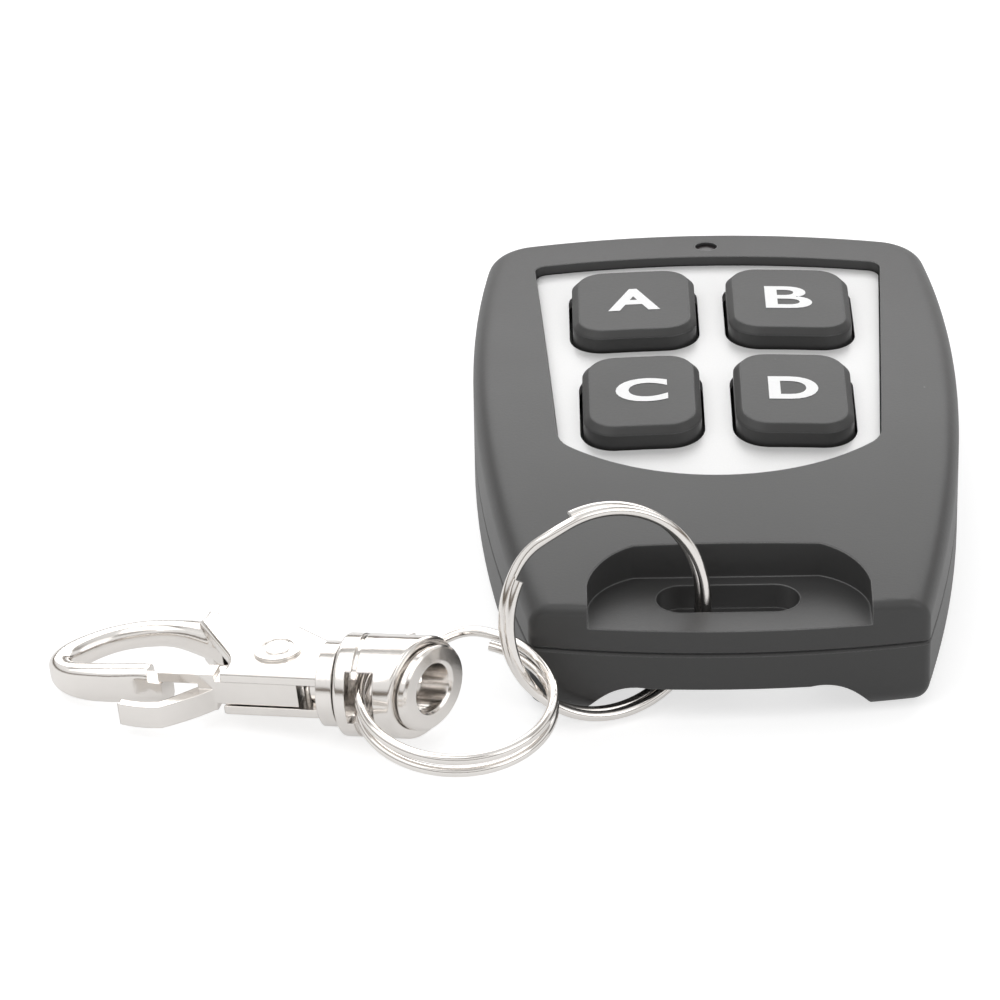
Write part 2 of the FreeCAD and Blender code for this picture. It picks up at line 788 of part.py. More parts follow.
def make_lamp():
    """The indicator lamp on the board and the clear pin that leads its light to the roof."""
    place = along("lamp_along")
    chip = make_box(
        "lamp_chip", "0", place, BOARD_TOP, "lamp_chip_length", "lamp_chip_width", "lamp_chip_height"
    )
    share = "(lamp_along / case_length)"
    top = (
        f"(crown_near + (crown_far - crown_near) * {share}"
        f" + 4 * crown_bow * {share} * (1 - {share}) - lamp_sunk)"
    )
    stem_foot = f"({BOARD_TOP} + lamp_chip_height + lamp_stem_gap)"
    stem = make_cylinder(
        "lamp_stem", "0", place, stem_foot, "lamp_hole_radius - lamp_clear", f"{top} - {stem_foot}"
    )
    collar = make_cylinder(
        "lamp_collar", "0", place, "roof_height - lamp_collar_thick - lamp_collar_gap",
        "lamp_collar_radius", "lamp_collar_thick",
    )
    return [chip, join("lamp_lens", "MultiFuse", [stem, collar])]


def make_board_parts():
    encoder = make_box(
        "encoder_chip", "0", along("(key_near_row + key_far_row) / 2"), BOARD_TOP,
        "encoder_width", "encoder_length", "encoder_height",
    )
    resonator = make_cylinder(
        "resonator_can", "0 - resonator_across", along("resonator_along"), BOARD_TOP,
        "resonator_radius", "resonator_height",
    )
    outer = make_box(
        "loop_outer", "loop_across", along("loop_along"), BOARD_TOP, "loop_side", "loop_side", "loop_thick"
    )
    opening = "(loop_side - 2 * loop_width)"
    inner = make_box(
        "loop_inner", "loop_across", along("loop_along"), f"{BOARD_TOP} - cut_margin", opening, opening,
        "loop_thick + 2 * cut_margin",
    )
    return [encoder, resonator, join("antenna_loop", "Cut", [outer, inner])]


def make_battery():
    """A small cylindrical cell lying across the case, its nub to the right."""
    height = "(base_floor + battery_radius + battery_clear)"
    can = make_cylinder(
        "battery_can", "0 - battery_length / 2", along("battery_along"), height,
        "battery_radius", "battery_length - battery_nub_height",
    )
    nub = make_cylinder(
        "battery_nub", "battery_length / 2 - battery_nub_height - join_lap", along("battery_along"), height,
        "battery_nub_radius", "battery_nub_height + join_lap",
    )
    for item in (can, nub):
        item.Placement.Rotation = Rotation(Vector(0, 1, 0), 90)
    return join("battery", "MultiFuse", [can, nub])


def make_contact(label, side):
    """A bent strip that touches one end of the battery and stands on the board."""
    middle = f"({side}(battery_length / 2 + battery_clear / 2 + contact_thick / 2))"
    height = "(base_floor + battery_radius + battery_clear)"
    blade = make_box(
        label + "_blade", middle, along("battery_along"), f"{height} - contact_width / 2",
        "contact_thick", "contact_width", "contact_width",
    )
    arm_far = "(board_near + contact_foot)"
    arm_near = "(battery_along + contact_width / 2 - join_lap)"
    arm = make_box(
        label + "_arm", middle, along(f"({arm_far} + {arm_near}) / 2"), BOARD_TOP,
        "contact_thick", f"{arm_far} - {arm_near}", "contact_arm_height",
    )
    foot_x = f"({side}(battery_length / 2 + battery_clear / 2 + contact_thick - contact_foot / 2))"
    foot = make_box(
        label + "_foot", foot_x, along("board_near + contact_foot - contact_foot_width / 2"), BOARD_TOP,
        "contact_foot", "contact_foot_width", "contact_thick",
    )
    return join(label, "MultiFuse", [blade, arm, foot])


def make_screws():
    """Four self-tapping screws, driven up through the base."""
    bars = ("a", "cross_width", "cross_length"), ("b", "cross_length", "cross_width")
    screws = []
    for number, (x, y) in enumerate(screw_places(), start=1):
        head = make_cylinder(
            f"screw_head{number}", x, y, "screw_sunk", "screw_head_radius", "screw_head_thick"
        )
        shank = make_cylinder(
            f"screw_shank{number}", x, y, "screw_sunk + join_lap", "screw_radius", "screw_length - join_lap"
        )
        cross = [
            make_box(
                f"screw_cross{number}{letter}", x, y, "screw_sunk - cut_margin", width, depth,
                "cut_margin + cross_depth",
            )
            for letter, width, depth in bars
        ]
        solid = join(f"screw_solid{number}", "MultiFuse", [head, shank])
        slot = join(f"screw_slot{number}", "MultiFuse", cross)
        screws.append(join(f"screw{number}", "Cut", [solid, slot]))
    return join("case_screws", "Compound", screws)


def is_near_corner(edge):
    """The two uprights where the sides meet the keyring end, and nothing else."""
    middle = edge.CenterOfMass
    corner_y = value("case_near_bow - case_length / 2")
    at_side = abs(abs(middle.x) - value("case_near_half")) < 0.1
    return is_upright(edge) and at_side and abs(middle.y - corner_y) < 0.1


def check_and_export(parts):
    doc.recompute()
    for item in doc.Objects:
        if "Invalid" in item.State or "Error" in item.State:
            raise RuntimeError(f"{item.Label} did not compute: {item.State}")
    os.makedirs("parts", exist_ok=True)
    for part in parts:
        shape = part.Shape
        if shape.isNull() or not shape.isValid():
            raise RuntimeError(f"{part.Label} has no valid shape")
        shape.exportStep(f"parts/{part.Label}.step")
        print(part.Label, len(shape.Solids), round(shape.Volume, 2))


def points_from_tangent(start, direction, end):
    """Three points of the arc that leaves a point along a direction and ends at another point."""
    chord = end - start
    half_turn = direction.getAngle(chord)
    towards = direction - chord * (direction.dot(chord) / chord.dot(chord))
    middle = start + chord / 2 + towards.normalize() * (chord.Length / 2 * math.tan(half_turn / 2))
    return [start, middle, end]


def ring_point(radius, degrees, height):
    angle = math.radians(degrees)
    return Vector(radius * math.cos(angle), radius * math.sin(angle), height)


def ring_path(radius):
    """Two flat turns of wire, one above the other, joined by a short crossover."""
    jog, end_gap = value("ring_jog"), value("ring_end_gap")
    rise = value("ring_wire + ring_gap") / 2
    third = (360 - jog - end_gap) / 3
    edges = []
    for turn in range(3):
        start = jog + end_gap + turn * third
        points = [ring_point(radius, start + part * third / 2, rise) for part in range(3)]
        edges.append(Part.Arc(*points).toShape())
    top = ring_point(radius, 0, rise)
    low = ring_point(radius, jog, -rise)
    middle = ring_point(math.hypot(radius, rise), jog / 2, 0)
    edges.append(Part.Arc(*points_from_tangent(top, Vector(0, 1, 0), middle)).toShape())
    back = ring_point(1, jog - 90, 0)
    edges.append(Part.Arc(*reversed(points_from_tangent(low, back, middle))).toShape())
    for turn in range(3):
        start = jog + turn * third
        points = [ring_point(radius, start + part * third / 2, -rise) for part in range(3)]
        edges.append(Part.Arc(*points).toShape())
    return edges


def wire_gap(edges, wire):
    """Least distance from the wire's surface to itself, between points over four wires apart along it."""
    points = []
    travelled = 0
    for edge in edges:
        steps = max(4, int(edge.Length / 0.4))
        points += [(travelled + edge.Length * step / steps, edge.valueAt(
            edge.FirstParameter + (edge.LastParameter - edge.FirstParameter) * step / steps
        )) for step in range(steps)]
        travelled += edge.Length
    least = min(
        (first[1] - second[1]).Length
        for number, first in enumerate(points) for second in points[number + 1:]
        if second[0] - first[0] > 4 * wire
    )
    return least - wire


def make_ring(label, radius, place):
    """A split ring, wound from one wire."""
    edges = ring_path(radius)
    wire = value("ring_wire")
    path = Part.Wire(edges)
    start = edges[0].valueAt(edges[0].FirstParameter)
    tangent = edges[0].tangentAt(edges[0].FirstParameter)
    section = Part.Wire(Part.makeCircle(wire / 2, start, tangent))
    feature = doc.addObject("Part::Feature", "Ring_" + label)
    feature.Label = label
    feature.Shape = path.makePipeShell([section], True)
    feature.Placement = place
    print(label, "least gap", round(wire_gap(edges, wire), 3))
    return feature


HALF_CLASP = "clasp_thick / 2"
NEAR_SIDE = "(0 - clasp_near_side)"
RIVET_X = "(0 - rivet_reach)"
GATE_LINE = "(0 - clasp_near_side + trigger_inset + gate_half)"


def block_between(body, name, corners, low, high, cut=False):
    """Adds or cuts an outline in plan between two heights."""
    sketch = new_sketch(body, name + "_plan", "XY_Plane", low)
    draw_outline(sketch, corners)
    if cut:
        return pocket(body, name, sketch, f"({high}) - ({low})", True)
    return pad(body, name, sketch, f"({high}) - ({low})")


def disc_between(body, name, x, y, radius, low, high, cut=False):
    sketch = new_sketch(body, name + "_plan", "XY_Plane", low)
    draw_circle(sketch, x, y, radius)
    if cut:
        return pocket(body, name, sketch, f"({high}) - ({low})", True)
    return pad(body, name, sketch, f"({high}) - ({low})")


def axial_disc(body, name, radius, start, end, cut=False):
    """A disc or bore about the clasp's long axis."""
    sketch = new_sketch(body, name + "_face", "YZ_Plane", start)
    draw_circle(sketch, "0", "0", radius)
    if cut:
        return pocket(body, name, sketch, f"({end}) - ({start})", True)
    return pad(body, name, sketch, f"({end}) - ({start})")


def hook_places():
    """Middle of the hook's bar from the body to its free end, with its half width and half height."""
    root, end, tall = "hook_root_radius", "hook_end_half", "hook_end_height"
    far = "clasp_loop_far"
    texts = [
        ("0 - wedge_reach + hook_step", f"{far} * 0.62", f"{root} * 1.58", f"{HALF_CLASP} * 0.775"),
        ("0 - wedge_reach", f"{far} * 0.88", f"{root} * 1.32", f"{HALF_CLASP} * 0.675"),
        ("0 - wedge_reach - hook_step", f"{far} * 0.99", root, f"{root} * 1.1"),
        ("0 - clasp_length * 0.83", f"{far} * 0.82", root, f"{root} * 1.05"),
        ("0 - clasp_length + 1.75", f"{far} * 0.45", root, f"{root} * 1.15"),
        ("0 - clasp_length + hook_root_radius", f"{far} * 0.09", root, f"{root} * 1.25"),
        ("0 - clasp_length * 0.92", f"{GATE_LINE} + 0.55", end, f"{tall} * 0.84"),
        ("0 - clasp_length * 0.86", f"{GATE_LINE} + 0.05", end, f"{tall} * 0.95"),
        ("0 - clasp_length * 0.74", GATE_LINE, end, tall),
        ("0 - hook_end_reach", GATE_LINE, end, tall),
    ]
    return [[value(text) for text in place] for place in texts]


def add_hook(body, count=17):
    """The hook's bar, thick at its root and taller towards its free end."""
    places = hook_places()
    curve = Part.BSplineCurve()
    curve.interpolate([Vector(x, y, 0) for x, y, across, tall in places])
    marks = [curve.parameter(Vector(x, y, 0)) for x, y, across, tall in places]
    sections = []
    for number in range(count):
        here = marks[0] + (marks[-1] - marks[0]) * number / (count - 1)
        last = max(k for k in range(len(marks) - 1) if marks[k] <= here)
        share = (here - marks[last]) / (marks[last + 1] - marks[last])
        across, tall = [
            2 * (before + (after - before) * share)
            for before, after in zip(places[last][2:], places[last + 1][2:])
        ]
        point, direction = curve.value(here), curve.tangent(here)[0]
        sketch = new_sketch(body, f"hook_section{number + 1}", "XZ_Plane")
        turn = math.degrees(math.atan2(direction.y, direction.x)) + 90
        sketch.AttachmentOffset = Placement(
            Vector(point.x, 0, -point.y), Rotation(Vector(0, 1, 0), turn)
        )
        corner = min(across, tall) * 0.42
        draw_outline(sketch, rounded_box("0", "0", f"{across:.4f}", f"{tall:.4f}", f"{corner:.4f}"))
        sections.append(sketch)
    loft = body.newObject("PartDesign::AdditiveLoft", body.Label + "_hook")
    loft.Profile = sections[0]
    loft.Sections = sections[1:]
    doc.recompute()
    return loft


def make_clasp():
    body = new_body("clasp_body")
    low, high = f"0 - {HALF_CLASP}", HALF_CLASP
    block_between(body, "plate", [
        ("0 - flange_reach", NEAR_SIDE),
        ("0 - 0.8", NEAR_SIDE),
        ("0", f"{NEAR_SIDE} + clasp_nose_cut"),
        ("0", "clasp_near_side - clasp_nose_cut"),
        ("0 - rivet_reach + 0.8", "clasp_shoulder"),
        ("0 - rivet_reach - 2.3", "clasp_wing"),
        ("0 - wedge_reach", "clasp_loop_far + hook_root_radius * 0.7", "0 - 0.15"),
        ("0 - wedge_reach - 0.2", "clasp_loop_far - wedge_width"),
        ("0 - flange_reach - 0.4", "0.7", "0 - 0.4"),
    ], low, high)
    dress(
        body, "Fillet", "edges", "clasp_edge",
        lambda e: abs(abs(e.CenterOfMass.z) - value(HALF_CLASP)) < 0.01 and e.CenterOfMass.x < -0.2,
    )
    # channel in the near side for the trigger, its rivet and its spring
    channel = new_sketch(body, "channel_profile", "XZ_Plane", "clasp_near_side + cut_margin")
    draw_outline(channel, [
        ("0 - flange_reach - 3", "0 - channel_height / 2"),
        ("0 - channel_end", "0 - channel_height / 2"),
        ("0 - channel_end", "channel_height / 2"),
        ("0 - flange_reach - 3", "channel_height / 2"),
    ])
    pocket(body, "channel", channel, "clasp_near_side + cut_margin + channel_across")
    add_hook(body)
    axial_disc(body, "collar", "clasp_collar_radius", "0 - clasp_collar_length", "0")
    disc_between(
        body, "rivet_hole", RIVET_X, "rivet_across", "rivet_radius + rivet_clear",
        "0 - clasp_thick", "clasp_thick", True,
    )
    axial_disc(body, "pin_hole", "pin_radius + pin_clear", "0 - channel_end - 1", "1", True)
    axial_disc(
        body, "pin_head_room", "pin_head_radius + pin_clear", "0 - channel_end - pin_head_thick - 0.2",
        "0 - channel_end", True,
    )
    # step in the hook's free end for the gate's lip
    block_between(body, "lip_step", [
        ("0 - gate_lip_reach - gate_swing_room", "0 - clasp_thick"),
        ("0 - gate_reach", "0 - clasp_thick"),
        ("0 - gate_reach", "lip_step_across"),
        ("0 - gate_lip_reach - gate_swing_room", "lip_step_across"),
    ], "hook_end_height - gate_lip_thick - gate_lip_clear", "clasp_thick", True)
    return body


def make_trigger():
    """The pivoting gate with its thumb tab, and the eye that turns on the rivet."""
    body = new_body("trigger")
    near = f"({NEAR_SIDE} + trigger_inset)"
    inner = f"({near} + 2 * gate_half)"
    low, high = "0 - trigger_height / 2", "trigger_height / 2"
    disc_between(body, "eye", RIVET_X, "rivet_across", "trigger_eye", low, high)
    block_between(body, "lever", [
        ("0 - gate_reach", near),
        ("0 - trigger_tail", near),
        ("0 - trigger_tail", inner),
        ("0 - rivet_reach + 1.4", "rivet_across - 1"),
        ("0 - rivet_reach - 1.2", "rivet_across + 1.6"),
        ("0 - flange_reach + 0.3", "0.9"),
        ("0 - gate_reach", inner),
    ], low, high)
    block_between(body, "gate", [
        ("0 - gate_reach", near),
        ("0 - flange_reach - gate_gap", near),
        ("0 - flange_reach - gate_gap", inner),
        ("0 - gate_reach", inner),
    ], "0 - hook_end_height", "hook_end_height")
    block_between(body, "lip", [
        ("0 - gate_lip_reach", near),
        ("0 - flange_reach - gate_gap", near),
        ("0 - flange_reach - gate_gap", inner),
        ("0 - gate_lip_reach", inner, "0.15"),
    ], "hook_end_height - gate_lip_thick", "hook_end_height")
    block_between(body, "tab", [
        ("0 - gate_reach - 0.2", f"{near} + 0.2"),
        ("0 - tab_reach + 3.4", f"{near} - tab_out + tab_thick", "0 - 0.25"),
        ("0 - tab_reach", f"{near} - tab_out + tab_thick + 0.2", "0 - 0.15"),
        ("0 - tab_reach", f"{near} - tab_out + 0.3", "0.2"),
        ("0 - tab_reach + 3.6", f"{near} - tab_out", "0.2"),
        ("0 - flange_reach - gate_gap", f"{near} + 0.2", "0.25"),
    ], "0 - hook_end_height", "tab_height - hook_end_height")
    disc_between(
        body, "pivot_hole", RIVET_X, "rivet_across", "rivet_radius + trigger_clear",
        "0 - trigger_height", "trigger_height", True,
    )
    room = "(spring_turns * (spring_wire + spring_gap) / 2 + spring_wire / 2 + spring_clear / 2)"
    disc_between(
        body, "spring_room", RIVET_X, "rivet_across", "spring_radius + spring_wire / 2 + spring_clear",
        f"0 - {room}", room, True,
    )
    return body


def make_clasp_rivet():
    body = new_body("clasp_rivet")
    head = f"({HALF_CLASP} + rivet_head_thick)"
    disc_between(body, "shank", RIVET_X, "rivet_across", "rivet_radius", f"0 - {head}", head)
    disc_between(body, "head", RIVET_X, "rivet_across", "rivet_head_radius", HALF_CLASP, head)
    disc_between(
        body, "foot", RIVET_X, "rivet_across", "rivet_head_radius", f"0 - {head}", f"0 - {HALF_CLASP}"
    )
    mark = new_sketch(body, "mark_plan", "XY_Plane", head)
    draw_circle(mark, RIVET_X, "rivet_across", "rivet_mark_radius")
    draw_circle(mark, RIVET_X, "rivet_across", "rivet_mark_radius - rivet_mark_width")
    pocket(body, "mark", mark, "rivet_head_thick / 2")
    return body


def make_trigger_spring():
    """The torsion spring wound round the rivet, inside the trigger's eye."""
    helix = doc.addObject("Part::Helix", "Spring_helix")
    bind(helix, Pitch="spring_wire + spring_gap", Height="spring_turns * (spring_wire + spring_gap)",
         Radius="spring_radius")
    foot = -value("spring_turns * (spring_wire + spring_gap) / 2")
    helix.Placement = Placement(Vector(value(RIVET_X), value("rivet_across"), foot), Rotation())
    section = doc.addObject("Part::Circle", "Spring_section")
    bind(section, Radius="spring_wire / 2")
    section.Placement = Placement(
        helix.Placement.Base + Vector(value("spring_radius"), 0, 0), Rotation(Vector(1, 0, 0), 90)
    )
    spring = doc.addObject("Part::Sweep", "Spring")
    spring.Label = "trigger_spring"
    spring.Sections = [section]
    doc.recompute()
    spring.Spine = (helix, [f"Edge{number + 1}" for number in range(len(helix.Shape.Edges))])
    spring.Solid = True
    doc.recompute()
    return spring


def make_barrel():
    """The open swivel barrel: closed at the clasp's end, its mouth cut aslant."""
    body = new_body("swivel_barrel")
    end = "(barrel_start + barrel_length)"
    axial_disc(body, "outside", "barrel_radius", "barrel_start", end)
    mouth = new_sketch(body, "mouth_plan", "XY_Plane", "0 - barrel_radius - 1")
    draw_outline(mouth, [
        ("barrel_mouth", "0 - barrel_radius"),
        ("barrel_mouth", "0 - barrel_radius - 1"),
        (f"{end} + 1", "0 - barrel_radius - 1"),
        (f"{end} + 1", "barrel_radius"),
        (end, "barrel_radius"),
    ])
    pocket(body, "mouth", mouth, "2 * barrel_radius + 2", True)
    axial_disc(body, "bore", "barrel_bore", "barrel_start + barrel_end_wall", f"{end} + 1", True)
    axial_disc(body, "pin_hole", "pin_radius + 0.02", "0", "barrel_start + barrel_end_wall + 1", True)
    dress(
        body, "Fillet", "lips", "barrel_edge",
        lambda e: e.BoundBox.YLength > 2 * value("barrel_bore") - 0.5 and abs(e.BoundBox.XMin) > 0.1,
    )
    # windows in both sides, where the split ring runs through the barrel
    windows = (
        ("near", "0 - barrel_radius - 1", "0", "window_start", "near_window_end"),
        ("far", "0", "barrel_radius + 1", "far_window_start", "far_window_end"),
    )
    for side, inner, outer, start, stop in windows:
        block_between(body, side + "_window", [
            (start, inner), (stop, inner), (stop, outer), (start, outer)
        ], "0 - window_drop", "window_rise", True)
    band = new_sketch(body, "band_face", "YZ_Plane", "barrel_start + barrel_band")
    draw_circle(band, "0", "0", "barrel_radius + 0.5")
    draw_circle(band, "0", "0", "barrel_radius - barrel_band_depth")
    pocket(body, "band", band, "barrel_band_width", True)
    return body


def make_swivel_pin():
    """The pin that turns with the barrel and is spread inside the clasp's channel."""
    body = new_body("swivel_pin")
    axial_disc(body, "shank", "pin_radius", "0 - channel_end - 0.5", "barrel_start + barrel_end_wall")
    axial_disc(
        body, "head", "pin_head_radius", "0 - channel_end - 0.05 - pin_head_thick", "0 - channel_end - 0.05"
    )
    return body


def facing(yaw, lean):
    """Direction that looks to the front, turned by yaw and leant back, in degrees."""
    yaw, lean = math.radians(yaw), math.radians(lean)
    return Vector(math.sin(yaw) * math.cos(lean), -math.cos(yaw) * math.cos(lean), math.sin(lean))


def ring_place(centre, normal, spin):
    """Sets a ring's axis along a normal, its turn counted from the level direction to the right."""
    level = Vector(0, 0, 1).cross(normal)
    turn = Rotation(level, normal.cross(level), normal, "ZXY")
    return Placement(centre, turn.multiply(Rotation(Vector(0, 0, 1), spin)))


def hang_at(left, from_end, height):
    """A point to the left of the case's middle line, counted along from its keyring end."""
    return Vector(value("0 - " + left), value(along(from_end)), value(height))


def along_axis(origin, yaw, pitch):
    """Placement whose x axis is turned to the front by yaw and raised by pitch, in degrees."""
    return Placement(origin, Rotation(Vector(0, 0, 1), -yaw).multiply(Rotation(Vector(0, 1, 0), -pitch)))


parts = [make_base(), make_top(), make_plate(), make_board(), make_battery(), make_screws()]
parts += [make_button(name, x, y) for name, x, y in key_places()]
for name, x, y in key_places():
    parts += make_switch(name, x, y)
parts += make_lamp() + make_board_parts()
parts += [make_contact("battery_contact_minus", "0 - "), make_contact("battery_contact_plus", "")]
parts.append(make_ring("ring_fob", value("ring_radius"), ring_place(
    hang_at("fob_ring_left", "fob_ring_setback", "fob_ring_height"),
    facing(value("fob_ring_yaw"), value("fob_ring_lean")), value("fob_ring_turn")
)))
parts.append(make_ring("ring_clasp", value("small_ring_radius"), ring_place(
    hang_at("small_ring_left", "0 - small_ring_out", "small_ring_height"),
    facing(value("small_ring_yaw"), value("small_ring_lean")), value("small_ring_turn")
)))
clasp_place = along_axis(
    hang_at("clasp_left", "0 - clasp_out", "clasp_axis_height"), value("clasp_yaw"), value("clasp_pitch")
)
for body in (
    make_clasp(), make_trigger(), make_clasp_rivet(), make_trigger_spring(), make_barrel(), make_swivel_pin()
):
    body.Placement = clasp_place
    parts.append(body)
check_and_export(parts)
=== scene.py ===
import json
import math

import bmesh
import bpy
from mathutils import Matrix, Vector
from mathutils.bvhtree import BVHTree


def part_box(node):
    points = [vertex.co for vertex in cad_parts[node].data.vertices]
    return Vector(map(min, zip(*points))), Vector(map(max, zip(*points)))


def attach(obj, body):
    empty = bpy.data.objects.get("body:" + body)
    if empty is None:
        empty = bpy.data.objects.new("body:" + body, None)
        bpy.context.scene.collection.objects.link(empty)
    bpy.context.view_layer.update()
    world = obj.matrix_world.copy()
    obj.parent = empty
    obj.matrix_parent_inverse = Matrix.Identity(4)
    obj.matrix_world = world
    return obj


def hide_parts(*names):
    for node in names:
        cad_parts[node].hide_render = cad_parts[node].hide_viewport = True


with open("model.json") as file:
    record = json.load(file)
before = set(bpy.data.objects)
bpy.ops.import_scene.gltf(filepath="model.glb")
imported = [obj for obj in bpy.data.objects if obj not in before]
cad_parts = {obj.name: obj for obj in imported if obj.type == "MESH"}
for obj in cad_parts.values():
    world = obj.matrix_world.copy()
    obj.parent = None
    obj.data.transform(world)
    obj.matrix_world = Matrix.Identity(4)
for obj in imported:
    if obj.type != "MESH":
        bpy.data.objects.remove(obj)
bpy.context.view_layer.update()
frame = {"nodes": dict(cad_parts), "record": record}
nodes = frame["nodes"]
print("frame loaded:", len(nodes), "nodes")

mm = 0.001
sharpAngle = math.radians(32)  # edges that turn more than this stay sharp in the shading
weldGap = 0.0001 * mm  # points nearer than this are one
bevelSamples = 6


class Flow:
    # a node's output, used in expressions
    def __init__(self, tree, socket):
        self.tree = tree
        self.socket = socket

    def link(self, socket):
        self.tree.links.new(self.socket, socket)

    def math(self, operation, first, second):
        node = self.tree.nodes.new("ShaderNodeMath")
        node.operation = operation
        for value, socket in zip((first, second), node.inputs):
            feed(value, socket)
        return Flow(self.tree, node.outputs[0])

    def __add__(self, other):
        return self.math("ADD", self, other)

    def __radd__(self, other):
        return self.math("ADD", other, self)

    def __sub__(self, other):
        return self.math("SUBTRACT", self, other)

    def __rsub__(self, other):
        return self.math("SUBTRACT", other, self)

    def __mul__(self, other):
        return self.math("MULTIPLY", self, other)

    def __rmul__(self, other):
        return self.math("MULTIPLY", other, self)


def feed(value, socket):
    if isinstance(value, Flow):
        value.link(socket)
    elif value is not None:
        socket.default_value = value


def setStops(ramp, stops):
    for number, (position, color) in enumerate(stops):
        stop = ramp.elements[number] if number < 2 else ramp.elements.new(position)
        stop.position = position
        stop.color = color


def grey(level, warm=0.0):
    return (level + warm, level, level - warm, 1.0)


def shaded(color, share):
    return tuple(level * share for level in color[:3]) + (1.0,)


def sway(mask, span):
    # from half the span below to half the span above
    return (mask - 0.5) * span


def addObject(name, data):
    made = bpy.data.objects.new(name, data)
    bpy.context.scene.collection.objects.link(made)
    return made


class Graph:
    # builds nodes in one material or world
    def __init__(self, tree):
        self.tree = tree

    def node(self, kind, settings=None, inputs=None, out=0):
        made = self.tree.nodes.new(kind)
        for name, value in (settings or {}).items():
            if name == "stops":
                setStops(made.color_ramp, value)
            else:
                setattr(made, name, value)
        for name, value in (inputs or {}).items():
            feed(value, made.inputs[name])
        return Flow(self.tree, made.outputs[out])

    def ramp(self, factor, stops):
        return self.node("ShaderNodeValToRGB", {"stops": stops}, {"Fac": factor})

    def blend(self, factor, first, second):
        return self.node("ShaderNodeMix", {"data_type": "RGBA"}, {0: factor, 6: first, 7: second}, out=2)


class Paint(Graph):
    # one material
    def __init__(self, name):
        self.material = bpy.data.materials.new(name)
        self.material.use_nodes = True
        super().__init__(self.material.node_tree)
        self.shader = self.tree.nodes["Principled BSDF"]
        self.place = self.node("ShaderNodeTexCoord", out="Object")

    def noise(self, size, detail=2.0, rough=0.5):
        # size is the grain's width in metres
        return self.node("ShaderNodeTexNoise", None, {
            "Vector": self.place, "Scale": 1 / size, "Detail": detail, "Roughness": rough})

    def softNormal(self, edgeRound):
        # the normal with the solid's edges rounded in the shading
        return self.node("ShaderNodeBevel", {"samples": bevelSamples}, {"Radius": edgeRound}, out="Normal")

    def edges(self, soft, low, high):
        # 1 on the solid's edges, 0 away from them
        plain = self.node("ShaderNodeNewGeometry", out="Normal")
        alike = self.node(
            "ShaderNodeVectorMath", {"operation": "DOT_PRODUCT"}, {0: soft, 1: plain}, out="Value")
        return self.ramp(1 - alike, [(low, grey(0.0)), (high, grey(1.0))])

    def bump(self, height, depth, strength, soft=None):
        return self.node("ShaderNodeBump", None, {
            "Height": height, "Distance": depth, "Strength": strength, "Normal": soft}, out="Normal")

    def finish(self, **sockets):
        for name, value in sockets.items():
            feed(value, self.shader.inputs[name.replace("_", " ")])
        return self.material


plastic = {
    "caseTone": 0.054, "keyTone": 0.037, "cloud": 9 * mm, "cloudShade": 0.06, "cloudWarm": 0.0004,
    "rough": 0.42, "roughSpan": 0.08,
    "caseGrain": 0.22 * mm, "keyGrain": 0.30 * mm, "grainDepth": 0.02 * mm, "bump": 0.5,
    # edges, rounded in the shading and painted paler along them as a painted highlight
    "caseEdge": 0.24 * mm, "keyEdge": 0.30 * mm, "paintedHighlightTone": 0.34, "paintedHighlight": 0.9, "paintedHighlightLeast": 0.3,
    "paintedHighlightFrom": 0.09, "paintedHighlightFull": 0.22,
    # dust: how far apart, how much of that a speck takes up, and how pale and how plain it is
    "speckGap": 5 * mm, "speckSize": 0.022, "speckTone": 0.4, "speckShown": 0.35,
}


def mattePlastic(name, tone, grain, edgeRound):
    paint = Paint(name)
    fine = paint.noise(grain, detail=3.0, rough=0.6)
    broad = paint.noise(plastic["cloud"])
    dust = paint.node("ShaderNodeTexVoronoi", None, {
        "Vector": paint.place, "Scale": 1 / plastic["speckGap"]}, out="Distance")
    speck = paint.ramp(dust, [(0.0, grey(1.0)), (plastic["speckSize"], grey(0.0))])
    shade = plastic["cloudShade"]
    color = paint.blend(broad, grey(tone * (1 - shade)), grey(tone * (1 + shade), plastic["cloudWarm"]))
    soft = paint.softNormal(edgeRound)
    # painted highlight: the colour turns paler along the solid's edges, standing in for the light that
    # rounded edges catch
    paintedHighlight = paint.edges(soft, plastic["paintedHighlightFrom"], plastic["paintedHighlightFull"]) * (plastic["paintedHighlightLeast"] + broad)
    color = paint.blend(paintedHighlight * plastic["paintedHighlight"], color, grey(plastic["paintedHighlightTone"]))
    return paint.finish(
        Base_Color=paint.blend(speck * plastic["speckShown"], color, grey(plastic["speckTone"])),
        Roughness=plastic["rough"] + sway(broad, plastic["roughSpan"]) + sway(fine, plastic["roughSpan"]),
        Normal=paint.bump(fine, plastic["grainDepth"], plastic["bump"], soft),
    )


silver = {
    "dark": grey(0.74, 0.002), "pale": grey(0.82, 0.002), "cloud": 14 * mm, "metallic": 0.15,
    "rough": 0.36, "roughSpan": 0.08, "flake": 0.12 * mm, "flakeDepth": 0.005 * mm, "bump": 0.4,
}


def silverPaint():
    paint = Paint("silverPaint")
    flake = paint.noise(silver["flake"], rough=0.7)
    broad = paint.noise(silver["cloud"], detail=1.0)
    return paint.finish(
        Base_Color=paint.blend(flake, silver["dark"], silver["pale"]),
        Metallic=silver["metallic"],
        Roughness=silver["rough"] + sway(broad, silver["roughSpan"]),
        Normal=paint.bump(flake, silver["flakeDepth"], silver["bump"]),
    )


ink = {
    "dark": grey(0.90), "pale": grey(0.96), "rough": 0.5, "roughSpan": 0.1,
    "grain": 0.15 * mm, "depth": 0.004 * mm, "bump": 0.5,
}


def whitePrint():
    paint = Paint("whitePrint")
    fine = paint.noise(ink["grain"])
    return paint.finish(
        Base_Color=paint.blend(fine, ink["dark"], ink["pale"]),
        Roughness=ink["rough"] + sway(fine, ink["roughSpan"]),
        Normal=paint.bump(fine, ink["depth"], ink["bump"]),
    )


